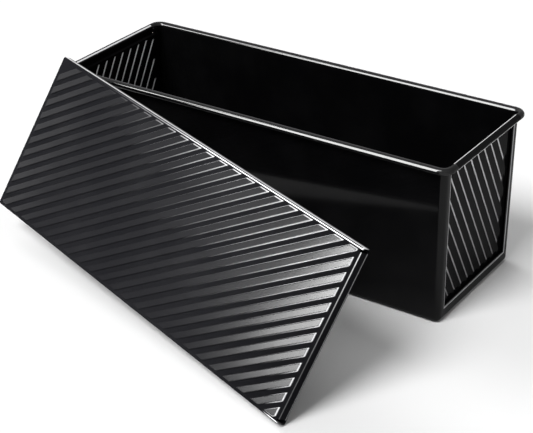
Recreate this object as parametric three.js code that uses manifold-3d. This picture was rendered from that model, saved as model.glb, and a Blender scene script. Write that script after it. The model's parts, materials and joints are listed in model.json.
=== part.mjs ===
// Pullman loaf pan with its slide-on lid, in millimetres.
// The pan stands on z = 0 with the origin under its middle. X runs along the pan, +Y points to the
// far long wall and +Z points up. The lid is off: it leans on the near side of the rim.

import * as THREE from 'three';
import { mergeVertices } from 'three/addons/utils/BufferGeometryUtils.js';
import Module from 'manifold-3d';

const wasm = await Module();
wasm.setup();

// Pan: outer sizes and the sheet that it is folded from
const panHeight = 112;
const rimLength = 304;
const rimWidth = 110;
const wallTaper = 1.2; // how much further in each wall stands at the bottom than at the rim
const sheet = 0.6;
const cornerRadius = 4.5; // outside of the four upright corners and of each end's bottom edge
const bottomBendRadius = 4; // outside of the bend between the bottom and a long wall
const foldThinning = 0.05; // what each face of the sheet loses where it is drawn round a fold
const foldLap = 1.5; // how far a drawn fold runs on inside the full sheet

// Rim: the sheet curls outwards round a wire
const wireDiameter = 3.6;
const wireClearance = 0.1;
const curlTurn = 280; // degrees from the wall over the top to the tail
const curlTailDrop = 3.4; // from the wire's centre down to the tail's edge
const curlTailGap = 0.15; // between the tail's edge and the wall
const rimJointGap = 0.3; // between the curl of the body and the curl of an end panel

// Lock seam: the body's edge and the end panel's edge hook into each other
const layerGap = 0.1;
const sideSeamReach = 8; // from a long wall's outer face to the folded edge
const bottomSeamReach = 10; // from the underside to the folded edge
const hookTipGap = 0.2; // between a hook's free edge and the fold that holds it

// Shoulder at the top of an end panel, where it steps out to the rim
const shoulderDrop = 4.2; // from the wire's centre down to the foot of the step
const shoulderAngle = 75; // degrees between the step and the panel

// Pressed ridges, the same on the end panels and the lid
const ridgePitch = 7.85;
const ridgeCrest = 3.1;
const ridgeFlank = 0.9;
const ridgeHeight = 1;
const ridgeLeast = 8; // a ridge shorter than this is left out
const cutOverrun = 0.3;

// Ridges on an end panel, falling from the near side to the far side
const panelRidgeAngle = -59.6; // degrees from the horizontal
const panelRidgeOffset = 10; // from the window's top start corner along its top to a crest
const panelStartMargin = 1.2; // from the side seam where the ridges start
const panelEndMargin = 8; // from the side seam where they run out
const panelEndRun = 2.5;
const panelTopMargin = 0.4; // from the foot of the shoulder
const panelFootMargin = 3; // from the bottom seam
const panelFootRun = 2;

// Lid: one sheet with a channel along each long edge that slides over the rim
const lidSideClearance = 1.2; // from the rim to the inside of a channel
const lidEndClearance = 1.2; // from the rim to the end flange when the lid is on
const lidOverhang = 2.2; // past the rim at the open end when the lid is on
const lidSheet = 0.6;
const lidHeight = 7;
const lidLip = 4.5;
const lidBendRadius = 1.4;
const lidNotchGap = 0.3; // between the end flange's cut-out and a channel's web
const lidFlangeGap = 2.2; // corner relief between the end flange and its cut-out
const lidHemGap = 0.2;
const lidHemStop = 1; // from the bend to the hem's free edge
const lidRidgeAngle = 35.9; // degrees from the lid's long edge
const lidRidgeOffset = 4.7; // from the window's foot up its flange side to a crest
const lidSideMargin = 2;
const lidOpenMargin = 3;
const lidFlangeMargin = 1.4;

// How the lid leans: its lip rests on the near rim bead and its lower flange corner on the floor
const restClearance = 0.35;
const leanFromRimEnd = 14; // from the rim's left end to where the lip touches it
const leanFromLidEnd = 10.5; // from the lid's open end to the same place
const lidTurn = -16.95; // degrees about the upright
const lidDip = 3.66; // degrees that the flange end hangs lower

// Facets
const cornerSteps = 6;
const foldSteps = 5;
const curlSteps = 14;
const wireSides = 12;
const mergeTolerance = 1e-5;

// Sizes that follow from the ones above
const drawnSheet = sheet - 2 * foldThinning;
const beadRadius = wireDiameter / 2 + wireClearance + drawnSheet;
const beadHeight = panHeight - beadRadius;
const beadOffset = beadRadius - sheet + foldThinning; // from a wall's outer face to the wire's centre
const rimHalfLength = rimLength / 2 - beadRadius - beadOffset; // to an end wall's outer face
const rimHalfWidth = rimWidth / 2 - beadRadius - beadOffset;
const hookRadius = (3 * sheet + 2 * layerGap) / 2; // outside of a hook's fold
const panelDepth = 3 * (sheet + layerGap); // from an end's outer face in to the panel's own face
const extraReach = bottomSeamReach - sideSeamReach;
const shoulderFoot = beadHeight - shoulderDrop;
const lidWidth = rimWidth + 2 * (lidSideClearance + lidSheet);
const lidLength = rimLength + lidEndClearance + lidSheet + lidOverhang;
const drawnLidSheet = lidSheet - 2 * foldThinning;

const radians = THREE.MathUtils.degToRad;

// Steel sheet under a glossy black release coating, and the bare wire inside the rim
const steels = {
  body: { color: 0x131417, roughness: 0.2, metalness: 0.6 },
  panel: { color: 0x17181b, roughness: 0.26, metalness: 0.6 },
  wire: { color: 0x8b8d90, roughness: 0.4, metalness: 1 },
  lid: { color: 0x1d1e21, roughness: 0.3, metalness: 0.6 },
};

// Outer half size of the pan at a height, to the face of its walls
function halfAt(rimHalf, z) {
  return rimHalf - wallTaper * (1 - z / beadHeight);
}

// Points on an arc, in steps of equal angle, with both ends
function arc(centreX, centreY, radius, fromDegrees, toDegrees, steps) {
  const points = [];
  for (let i = 0; i <= steps; i += 1) {
    const angle = radians(fromDegrees + ((toDegrees - fromDegrees) * i) / steps);
    points.push(new THREE.Vector2(centreX + radius * Math.cos(angle), centreY + radius * Math.sin(angle)));
  }
  return points;
}

// A closed solid from a geometry, whatever way its faces were wound
function toSolid(geometry) {
  const merged = mergeVertices(geometry, mergeTolerance);
  const position = merged.getAttribute('position');
  const index = merged.getIndex();
  const faces = [];
  let volume = 0;
  const [a, b, c] = [new THREE.Vector3(), new THREE.Vector3(), new THREE.Vector3()];
  for (let i = 0; i < index.count; i += 3) {
    const face = [index.getX(i), index.getX(i + 1), index.getX(i + 2)];
    if (new Set(face).size === 3) {
      a.fromBufferAttribute(position, face[0]);
      b.fromBufferAttribute(position, face[1]);
      c.fromBufferAttribute(position, face[2]);
      volume += a.dot(b.cross(c));
      faces.push(face);
    }
  }
  const wound = volume < 0 ? faces.map(([i, j, k]) => [i, k, j]) : faces;
  const mesh = new wasm.Mesh({
    numProp: 3,
    vertProperties: new Float32Array(position.array),
    triVerts: new Uint32Array(wound.flat()),
  });
  return new wasm.Manifold(mesh);
}

// A closed solid through rings of points. The flat outline is only used to fill the first and last ring.
function loft(rings, outline, closed = false) {
  const count = outline.length;
  const vertices = rings.flat().flatMap((point) => [point.x, point.y, point.z]);
  const indices = [];
  const spans = closed ? rings.length : rings.length - 1;
  for (let r = 0; r < spans; r += 1) {
    const here = r * count;
    const next = ((r + 1) % rings.length) * count;
    for (let i = 0; i < count; i += 1) {
      const j = (i + 1) % count;
      indices.push(here + i, here + j, next + j, here + i, next + j, next + i);
    }
  }
  if (!closed) {
    const last = (rings.length - 1) * count;
    const forward = THREE.ShapeUtils.isClockWise(outline) ? 1 : -1;
    for (const [i, j, k] of THREE.ShapeUtils.triangulateShape(outline, [])) {
      const face = forward > 0 ? [i, j, k] : [i, k, j];
      indices.push(face[0], face[1], face[2]);
      indices.push(last + face[0], last + face[2], last + face[1]);
    }
  }
  const geometry = new THREE.BufferGeometry();
  geometry.setAttribute('position', new THREE.Float32BufferAttribute(vertices, 3));
  geometry.setIndex(indices);
  return toSolid(geometry);
}

// A solid of one outline between two places
function prism(outline, place, from, to) {
  return loft([from, to].map((at) => outline.map((point) => place(point, at))), outline);
}

// A named mesh of a solid, with each of its points moved by an optional function
function meshOf(name, solid, steel, move = (point) => point) {
  const { vertProperties, triVerts } = solid.getMesh();
  const geometry = new THREE.BufferGeometry();
  geometry.setAttribute('position', new THREE.Float32BufferAttribute(vertProperties, 3));
  geometry.setIndex(new THREE.BufferAttribute(triVerts, 1));
  const position = geometry.getAttribute('position');
  const point = new THREE.Vector3();
  for (let i = 0; i < position.count; i += 1) {
    point.fromBufferAttribute(position, i);
    move(point);
    position.setXYZ(i, point.x, point.y, point.z);
  }
  geometry.computeVertexNormals();
  const mesh = new THREE.Mesh(geometry, new THREE.MeshStandardMaterial(steel));
  mesh.name = name;
  return mesh;
}

// The path of one point of the sheet down a long wall, across the bottom and up the other wall,
// as [y, z] pairs. Past the bend's radius the path has sharp corners.
function wallPath(sideInset, bottomInset) {
  const radius = Math.max(bottomBendRadius - Math.max(sideInset, bottomInset), 0);
  const z = bottomInset + radius;
  const y = halfAt(rimHalfWidth, z) - sideInset - radius;
  const top = halfAt(rimHalfWidth, beadHeight) - sideInset;
  return [
    new THREE.Vector2(-top, beadHeight),
    ...arc(-y, z, radius, 180, 270, cornerSteps),
    ...arc(y, z, radius, 270, 360, cornerSteps),
    new THREE.Vector2(top, beadHeight),
  ];
}

// An outline point of a seam: x is the inset from the long wall, y the depth from the end's face.
// The folded edge lies further in along the bottom.
function seamPoint(point, atReach) {
  return { inset: point.x, depth: point.y, bottomInset: point.x + (atReach ? extraReach : 0) };
}

// The body's outline at one end, from the wall's outer face round the hook to its inner face
function bodyHook() {
  const foldCentre = sideSeamReach - hookRadius;
  const tip = cornerRadius + hookTipGap;
  const corner = arc(cornerRadius, cornerRadius, cornerRadius, 180, 270, cornerSteps);
  const fold = arc(foldCentre, hookRadius, hookRadius, 270, 450, foldSteps);
  const tipFaces = [new THREE.Vector2(tip, 2 * hookRadius), new THREE.Vector2(tip, 2 * hookRadius - sheet)];
  const insideFold = arc(foldCentre, hookRadius, hookRadius - sheet, 450, 270, foldSteps);
  const insideCorner = arc(cornerRadius, cornerRadius, cornerRadius - sheet, 270, 180, cornerSteps);
  return [
    ...corner.map((point) => seamPoint(point, false)),
    ...fold.map((point) => seamPoint(point, true)),
    ...tipFaces.map((point) => seamPoint(point, false)),
    ...insideFold.map((point) => seamPoint(point, true)),
    ...insideCorner.map((point) => seamPoint(point, false)),
  ];
}

// The end panel's edge: it folds back outwards round the body's hook
function panelHook() {
  const outer = hookRadius - foldThinning;
  const inner = outer - drawnSheet;
  const centre = panelDepth + sheet - hookRadius;
  const tip = sideSeamReach - hookRadius - hookTipGap;
  const lap = cornerRadius + foldLap;
  const around = arc(cornerRadius, centre, outer, 90, 270, foldSteps);
  const inside = arc(cornerRadius, centre, inner, 270, 90, foldSteps);
  const tipFaces = [new THREE.Vector2(tip, centre - outer), new THREE.Vector2(tip, centre - inner)];
  return [
    seamPoint(new THREE.Vector2(lap, centre + outer), false),
    ...around.map((point) => seamPoint(point, false)),
    ...tipFaces.map((point) => seamPoint(point, true)),
    ...inside.map((point) => seamPoint(point, false)),
    seamPoint(new THREE.Vector2(lap, centre + inner), false),
  ];
}

// A solid that follows the wall path with a seam outline. place gives x from a point's depth.
function alongWalls(points, outline, place) {
  const paths = points.map((point) => wallPath(point.inset, point.bottomInset));
  const rings = paths[0].map((_, station) => points.map((point, i) => {
    const { x: y, y: z } = paths[i][station];
    return new THREE.Vector3(place(point, z), y, z);
  }));
  return loft(rings, outline);
}

// The curl's two faces, from the wall over the wire to the tail that is tucked back to the wall.
// x is the distance out from the wall's outer face, y the height.
function curlFaces() {
  const end = 180 - curlTurn;
  const outer = arc(beadOffset, beadHeight, beadRadius, 180, end, curlSteps);
  const inner = arc(beadOffset, beadHeight, beadRadius - drawnSheet, 180, end, curlSteps);
  const last = outer[curlSteps];
  const lastInside = inner[curlSteps];
  const tail = new THREE.Vector2(curlTailGap, beadHeight - curlTailDrop);
  const slope = (last.y - tail.y) / (last.x - tail.x);
  const tailInside = new THREE.Vector2(curlTailGap, lastInside.y - slope * (lastInside.x - curlTailGap));
  return { outer: [...outer, tail], inner: [...inner, tailInside].reverse() };
}

// A station on the rim: a point on the wall's outer face in plan, and the way out from there
function station(x, y, degrees) {
  return { x, y, outX: Math.cos(radians(degrees)), outY: Math.sin(radians(degrees)) };
}

// Stations round one upright corner, given the quarter in which it lies
function cornerStations(signX, signY, fromDegrees, toDegrees) {
  const centreX = signX * (rimHalfLength - cornerRadius);
  const centreY = signY * (rimHalfWidth - cornerRadius);
  const stations = [];
  for (let i = 0; i <= cornerSteps; i += 1) {
    const degrees = fromDegrees + ((toDegrees - fromDegrees) * i) / cornerSteps;
    const x = centreX + cornerRadius * Math.cos(radians(degrees));
    const y = centreY + cornerRadius * Math.sin(radians(degrees));
    stations.push(station(x, y, degrees));
  }
  return stations;
}

// A solid whose outline stands square to the rim all the way along it
function alongRim(outline, stations, closed = false) {
  const rings = stations.map(({ x, y, outX, outY }) => outline.map(
    (point) => new THREE.Vector3(x + point.x * outX, y + point.x * outY, point.y),
  ));
  return loft(rings, outline, closed);
}

// Long bars side by side under a tilted-sided window: the raised ridges of a pressed sheet.
// The sheet's own face is at height zero.
function ridges(window, angle, through) {
  const along = new THREE.Vector2(Math.cos(radians(angle)), Math.sin(radians(angle)));
  const across = new THREE.Vector2(-along.y, along.x);
  const corners = [
    new THREE.Vector2(window.left, window.foot),
    new THREE.Vector2(window.right, window.foot),
    new THREE.Vector2(window.right, window.top),
    new THREE.Vector2(window.left, window.top),
  ];
  const middle = corners[0].clone().add(corners[2]).divideScalar(2);
  const reach = corners[0].distanceTo(corners[2]);
  const shift = through.clone().sub(middle).dot(across);
  const first = Math.ceil((-reach / 2 - shift) / ridgePitch);
  const last = Math.floor((reach / 2 - shift) / ridgePitch);
  let bars = null;
  for (let i = first; i <= last; i += 1) {
    const centre = middle.clone().addScaledVector(across, shift + i * ridgePitch);
    if (lengthInside(window, centre, along) > ridgeLeast) {
      const bar = ridgeBar(centre, along, across, reach);
      bars = bars ? bars.add(bar) : bar;
    }
  }
  return bars.intersect(ridgeWindow(window));
}

// How much of a straight line lies inside a window
function lengthInside(window, centre, along) {
  const spans = [
    [window.left - centre.x, window.right - centre.x].map((side) => side / along.x),
    [window.foot - centre.y, window.top - centre.y].map((side) => side / along.y),
  ];
  const enter = Math.max(...spans.map((span) => Math.min(...span)));
  const leave = Math.min(...spans.map((span) => Math.max(...span)));
  return leave - enter;
}

// One long bar with sloping flanks
function ridgeBar(centre, along, across, reach) {
  const half = ridgeCrest / 2;
  const footHalf = half + ridgeFlank * (1 + cutOverrun / ridgeHeight);
  const outline = [
    new THREE.Vector2(-footHalf, -cutOverrun),
    new THREE.Vector2(footHalf, -cutOverrun),
    new THREE.Vector2(half, ridgeHeight),
    new THREE.Vector2(-half, ridgeHeight),
  ];
  const place = (point, at) => {
    const spot = centre.clone().addScaledVector(along, at).addScaledVector(across, point.x);
    return new THREE.Vector3(spot.x, spot.y, point.y);
  };
  return prism(outline, place, -reach, reach);
}

// The space in which ridges may stand, with sides that slope in towards the crests
function ridgeWindow(window) {
  const ring = (height) => {
    const rise = height / ridgeHeight;
    const left = window.left + window.leftRun * rise;
    const right = window.right - window.rightRun * rise;
    const foot = window.foot + window.footRun * rise;
    const top = window.top - window.topRun * rise;
    return [
      new THREE.Vector3(left, foot, height),
      new THREE.Vector3(right, foot, height),
      new THREE.Vector3(right, top, height),
      new THREE.Vector3(left, top, height),
    ];
  };
  const low = ring(-2 * cutOverrun);
  return loft([low, ring(ridgeHeight + cutOverrun)], low.map((point) => new THREE.Vector2(point.x, point.y)));
}

// A pressed sheet: ridges stand out of one face and are hollow on the other
function press(plate, raised, thickness) {
  return plate.add(raised).subtract(raised.translate([0, 0, -thickness]));
}

// Bottom and both long walls in one sheet, hooked round the end panels and curled at the top
function makeBody() {
  const hook = bodyHook();
  const mirrored = hook.map((point) => ({ ...point, otherEnd: true })).reverse();
  const points = [...hook, ...mirrored];
  const place = (point, z) => {
    const x = halfAt(rimHalfLength, z) - point.depth;
    return point.otherEnd ? -x : x;
  };
  const outline = points.map((point) => new THREE.Vector2(place(point, beadHeight), point.inset));
  const folded = alongWalls(points, outline, place);
  const { outer, inner } = curlFaces();
  const lap = [
    new THREE.Vector2(-foldThinning, beadHeight - foldLap),
    new THREE.Vector2(foldThinning - sheet, beadHeight - foldLap),
  ];
  const curl = [...lap, ...outer, ...inner];
  const seamEnd = rimHalfWidth - sideSeamReach;
  const near = alongRim(curl, [
    station(rimHalfLength, -seamEnd, 0),
    ...cornerStations(1, -1, 0, -90),
    ...cornerStations(-1, -1, -90, -180),
    station(-rimHalfLength, -seamEnd, -180),
  ]);
  const far = alongRim(curl, [
    station(-rimHalfLength, seamEnd, 180),
    ...cornerStations(-1, 1, 180, 90),
    ...cornerStations(1, 1, 90, 0),
    station(rimHalfLength, seamEnd, 0),
  ]);
  return folded.add(near).add(far);
}

// One end panel, built upright with its end's outer face at x = 0
function makePanel() {
  const hook = panelHook();
  const hookOutline = hook.map((point) => new THREE.Vector2(-point.depth, point.inset));
  const edge = alongWalls(hook, hookOutline, (point) => -point.depth);
  const outerHalf = (z) => halfAt(rimHalfWidth, z) - cornerRadius;
  const tabHalf = rimHalfWidth - sideSeamReach;
  const plateOutline = [
    new THREE.Vector2(-outerHalf(cornerRadius), cornerRadius),
    new THREE.Vector2(outerHalf(cornerRadius), cornerRadius),
    new THREE.Vector2(outerHalf(beadHeight), beadHeight),
    new THREE.Vector2(tabHalf, beadHeight),
    new THREE.Vector2(tabHalf, shoulderFoot),
    new THREE.Vector2(-tabHalf, shoulderFoot),
    new THREE.Vector2(-tabHalf, beadHeight),
    new THREE.Vector2(-outerHalf(beadHeight), beadHeight),
  ];
  const plate = prism(plateOutline, (point, at) => new THREE.Vector3(point.x, point.y, at), -sheet, 0);
  const window = {
    left: panelStartMargin - tabHalf,
    leftRun: ridgeFlank,
    right: tabHalf - panelEndMargin,
    rightRun: panelEndRun,
    foot: bottomSeamReach + panelFootMargin,
    footRun: panelFootRun,
    top: shoulderFoot - panelTopMargin,
    topRun: ridgeFlank,
  };
  const crest = new THREE.Vector2(window.left + panelRidgeOffset, window.top);
  const pressed = press(plate, ridges(window, panelRidgeAngle, crest), sheet);
  const upright = new THREE.Matrix4().makeBasis(
    new THREE.Vector3(0, 1, 0),
    new THREE.Vector3(0, 0, 1),
    new THREE.Vector3(1, 0, 0),
  ).setPosition(-panelDepth, 0, 0);
  return pressed.transform(upright.toArray()).add(edge).add(makeShoulder());
}

// The step at the top of an end panel and the curl above it
function makeShoulder() {
  const tangent = Math.tan(radians(shoulderAngle));
  const bendShift = drawnSheet * Math.tan(radians(shoulderAngle) / 2);
  const insideFace = foldThinning - sheet;
  const outsideFace = -foldThinning;
  const shoulderTop = shoulderFoot + panelDepth / tangent;
  const { outer, inner } = curlFaces();
  const outline = [
    new THREE.Vector2(outsideFace, shoulderTop - bendShift),
    new THREE.Vector2(outsideFace - panelDepth, shoulderFoot - bendShift),
    new THREE.Vector2(outsideFace - panelDepth, shoulderFoot - foldLap),
    new THREE.Vector2(insideFace - panelDepth, shoulderFoot - foldLap),
    new THREE.Vector2(insideFace - panelDepth, shoulderFoot),
    new THREE.Vector2(insideFace, shoulderTop),
    ...outer,
    ...inner,
  ];
  const half = rimHalfWidth - sideSeamReach - rimJointGap;
  return alongRim(outline, [station(0, -half, 0), station(0, half, 0)]);
}

// The wire inside the rim, one closed loop
function makeWire() {
  const outline = arc(beadOffset, beadHeight, wireDiameter / 2, 0, 360, wireSides).slice(0, wireSides);
  const stations = [
    ...cornerStations(1, -1, 0, -90),
    ...cornerStations(-1, -1, -90, -180),
    ...cornerStations(-1, 1, -180, -270),
    ...cornerStations(1, 1, -270, -360),
  ];
  return alongRim(outline, stations, true);
}

// The lid flat on its back: x along it, y across it and z out of its ridged face
function makeLid() {
  const half = lidWidth / 2;
  const bend = half - lidBendRadius;
  const low = lidBendRadius - lidHeight;
  const insideRadius = lidBendRadius - lidSheet;
  const farOuter = [
    ...arc(bend, -lidBendRadius, lidBendRadius, 90, 0, foldSteps),
    ...arc(bend, low, lidBendRadius, 0, -90, foldSteps),
    new THREE.Vector2(half - lidLip, -lidHeight),
  ];
  const farInner = [
    ...arc(bend, -lidBendRadius, insideRadius, 90, 0, foldSteps),
    ...arc(bend, low, insideRadius, 0, -90, foldSteps),
    new THREE.Vector2(half - lidLip, lidSheet - lidHeight),
  ].reverse();
  const farHalf = [...farOuter, ...farInner];
  const nearHalf = farHalf.map((point) => new THREE.Vector2(-point.x, point.y)).reverse();
  const section = [...farHalf, ...nearHalf];
  const place = (point, at) => new THREE.Vector3(at, point.x + half, point.y);
  const plate = prism(section, place, 0, lidLength);

  const notchHalf = half - lidSheet - lidNotchGap;
  const notch = [
    new THREE.Vector2(-notchHalf, -lidHeight - cutOverrun),
    new THREE.Vector2(notchHalf, -lidHeight - cutOverrun),
    new THREE.Vector2(notchHalf, cutOverrun),
    new THREE.Vector2(-notchHalf, cutOverrun),
  ];
  const notchSolid = prism(notch, place, lidLength - lidBendRadius, lidLength + cutOverrun);
  const flangeHalf = notchHalf - lidFlangeGap;
  const flangePlace = (point, at) => new THREE.Vector3(point.x, at + half, point.y);
  const flange = prism(flangeSection(), flangePlace, -flangeHalf, flangeHalf);

  const window = {
    left: lidOpenMargin,
    leftRun: ridgeFlank,
    right: lidLength - lidBendRadius - lidFlangeMargin,
    rightRun: ridgeFlank,
    foot: lidSideMargin,
    footRun: ridgeFlank,
    top: lidWidth - lidSideMargin,
    topRun: ridgeFlank,
  };
  const crest = new THREE.Vector2(window.right, window.foot + lidRidgeOffset);
  const pressed = press(plate, ridges(window, lidRidgeAngle, crest), lidSheet);
  return pressed.subtract(notchSolid).add(flange);
}

// The end flange of the lid, bent down from the plate and hemmed inwards along its edge
function flangeSection() {
  const bendX = lidLength - lidBendRadius;
  const outer = lidBendRadius - foldThinning;
  const inner = outer - drawnLidSheet;
  const hemInside = lidHemGap / 2;
  const hemOutside = hemInside + drawnLidSheet;
  const hemX = bendX + outer - hemOutside;
  const hemZ = hemOutside - lidHeight;
  const hemTip = -lidBendRadius - lidHemStop;
  return [
    new THREE.Vector2(bendX - foldLap, -foldThinning),
    ...arc(bendX, -lidBendRadius, outer, 90, 0, foldSteps),
    ...arc(hemX, hemZ, hemOutside, 0, -180, foldSteps),
    new THREE.Vector2(hemX - hemOutside, hemTip),
    new THREE.Vector2(hemX - hemInside, hemTip),
    ...arc(hemX, hemZ, hemInside, -180, 0, foldSteps),
    ...arc(bendX, -lidBendRadius, inner, 0, 90, foldSteps),
    new THREE.Vector2(bendX - foldLap, -lidSheet + foldThinning),
  ];
}

// Lean the lid on the pan. Its lip edge passes over the bead of the near rim at the given place, and
// the lean angle is the one that brings its lower flange corner down to the floor.
function leanLid(lid) {
  const along = new THREE.Vector3(1, 0, 0).applyEuler(new THREE.Euler(0, radians(lidDip), radians(lidTurn), 'ZYX'));
  const upFromRim = along.clone().cross(new THREE.Vector3(1, 0, 0)).normalize();
  const touch = new THREE.Vector3(leanFromRimEnd - rimLength / 2, beadRadius - rimWidth / 2, beadHeight)
    .addScaledVector(upFromRim, beadRadius + restClearance);
  const lipStart = touch.clone().addScaledVector(along, -leanFromLidEnd);
  const lipAcross = lidWidth - lidLip;
  const rise = lipStart.z + lidLength * along.z - restClearance;
  const lean = Math.asin(Math.min(rise / (lipAcross * Math.cos(radians(lidDip))), 1));
  lid.rotation.set(lean, radians(lidDip), radians(lidTurn), 'ZYX');
  const lipInLid = new THREE.Vector3(0, lipAcross, -lidHeight).applyEuler(lid.rotation);
  lid.position.copy(lipStart).sub(lipInLid);
  return lid;
}

const pan = new THREE.Group();
const leanWithTaper = (point) => {
  point.x += halfAt(rimHalfLength, point.z);
};
const panel = makePanel();
const leftPanel = meshOf('left_end_panel', panel, steels.panel, leanWithTaper);
leftPanel.rotation.z = Math.PI;
pan.add(meshOf('body_sheet', makeBody(), steels.body));
pan.add(meshOf('right_end_panel', panel, steels.panel, leanWithTaper));
pan.add(leftPanel);
pan.add(meshOf('rim_wire', makeWire(), steels.wire));

const loafPan = new THREE.Group();
loafPan.add(pan);
loafPan.add(leanLid(meshOf('lid', makeLid(), steels.lid)));

export default loafPan;
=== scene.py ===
"""Looks of a pullman loaf pan and its ribbed lid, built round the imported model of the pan."""

import json
import logging
import math
from dataclasses import dataclass, field
from enum import Enum
from functools import cache, reduce
from operator import matmul
from typing import Callable, NamedTuple, Sequence

import bmesh
import bpy
from mathutils import Matrix, Vector

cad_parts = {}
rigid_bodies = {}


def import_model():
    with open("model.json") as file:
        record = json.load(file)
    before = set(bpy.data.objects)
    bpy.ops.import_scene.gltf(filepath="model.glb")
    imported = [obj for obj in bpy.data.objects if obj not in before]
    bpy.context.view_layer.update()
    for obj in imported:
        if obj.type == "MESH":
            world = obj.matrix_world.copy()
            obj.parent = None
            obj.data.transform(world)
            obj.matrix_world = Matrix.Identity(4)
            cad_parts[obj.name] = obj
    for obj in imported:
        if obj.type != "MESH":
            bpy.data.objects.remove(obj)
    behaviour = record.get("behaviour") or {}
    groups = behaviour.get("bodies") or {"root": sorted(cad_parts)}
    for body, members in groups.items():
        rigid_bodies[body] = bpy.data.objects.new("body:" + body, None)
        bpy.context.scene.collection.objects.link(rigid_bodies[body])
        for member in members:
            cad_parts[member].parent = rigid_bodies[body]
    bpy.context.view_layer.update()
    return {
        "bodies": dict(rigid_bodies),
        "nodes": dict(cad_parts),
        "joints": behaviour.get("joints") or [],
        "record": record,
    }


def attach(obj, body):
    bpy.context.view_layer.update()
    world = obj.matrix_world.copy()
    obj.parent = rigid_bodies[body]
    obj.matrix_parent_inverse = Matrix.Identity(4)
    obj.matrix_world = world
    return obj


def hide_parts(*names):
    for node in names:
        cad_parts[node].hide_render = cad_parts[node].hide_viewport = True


log = logging.getLogger("loaf_pan")

MILLIMETRE = 0.001
GLOSS_MARK = "gloss"
# The edge mark: bare, bright steel, partly wear and partly painted highlight lines on folds and ridge
# flanks.
WEAR_AND_HIGHLIGHT_MARK = "edge"
SAME_PLACE = 1e-3
MERGE_DISTANCE = 2e-6
FLAT_DISTANCE = 1e-7
SHARP_ANGLE = 40
OFFSET_DIGITS = 6
MIX_FIRST, MIX_SECOND, MIX_RESULT = 6, 7, 2

Point2 = tuple[float, float]
Point3 = tuple[float, float, float]
Plate = tuple[float, float, float, float]
Place = Callable[[float, float, float], Vector]
Spread = Callable[[float, float], float]


class Body(Enum):
    """The bodies that pieces ride on."""

    PAN = "pan"
    LID = "lid"


class Slot(Enum):
    """The record's material slots for the pieces that are made here."""

    BODY = "coated_body"
    END = "coated_end"
    LID = "coated_lid"


def arc(centre: Point2, radius: float, start: float, end: float, steps: int) -> list[Point2]:
    """Points on an arc, in steps of equal angle, with both ends.

    Args:
        centre: The arc's centre.
        radius: Its radius.
        start: The first point's angle in degrees.
        end: The last point's angle in degrees.
        steps: How many steps lie between them.

    Returns:
        The points, one more than the steps.
    """
    angles = [math.radians(start + (end - start) * i / steps) for i in range(steps + 1)]
    return [(centre[0] + radius * math.cos(a), centre[1] + radius * math.sin(a)) for a in angles]


def clamped(value: float) -> float:
    """A value held between 0 and 1."""
    return min(max(value, 0), 1)


def full(_x: float, _y: float) -> float:
    """One at every place."""
    return 1


def turned(*turns: tuple[float, str]) -> Matrix:
    """Turns by angles in degrees about axes, of which the last comes first."""
    return reduce(matmul, (Matrix.Rotation(math.radians(angle), 4, axis) for angle, axis in turns))


def placed(name: str, data: bpy.types.ID) -> bpy.types.Object:
    """Puts a mesh, lamp or camera into the scene as an object of its own.

    Args:
        name: The object's name.
        data: What it shows.

    Returns:
        The new object.
    """
    made = bpy.data.objects.new(name, data)
    bpy.context.scene.collection.objects.link(made)
    return made


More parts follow.
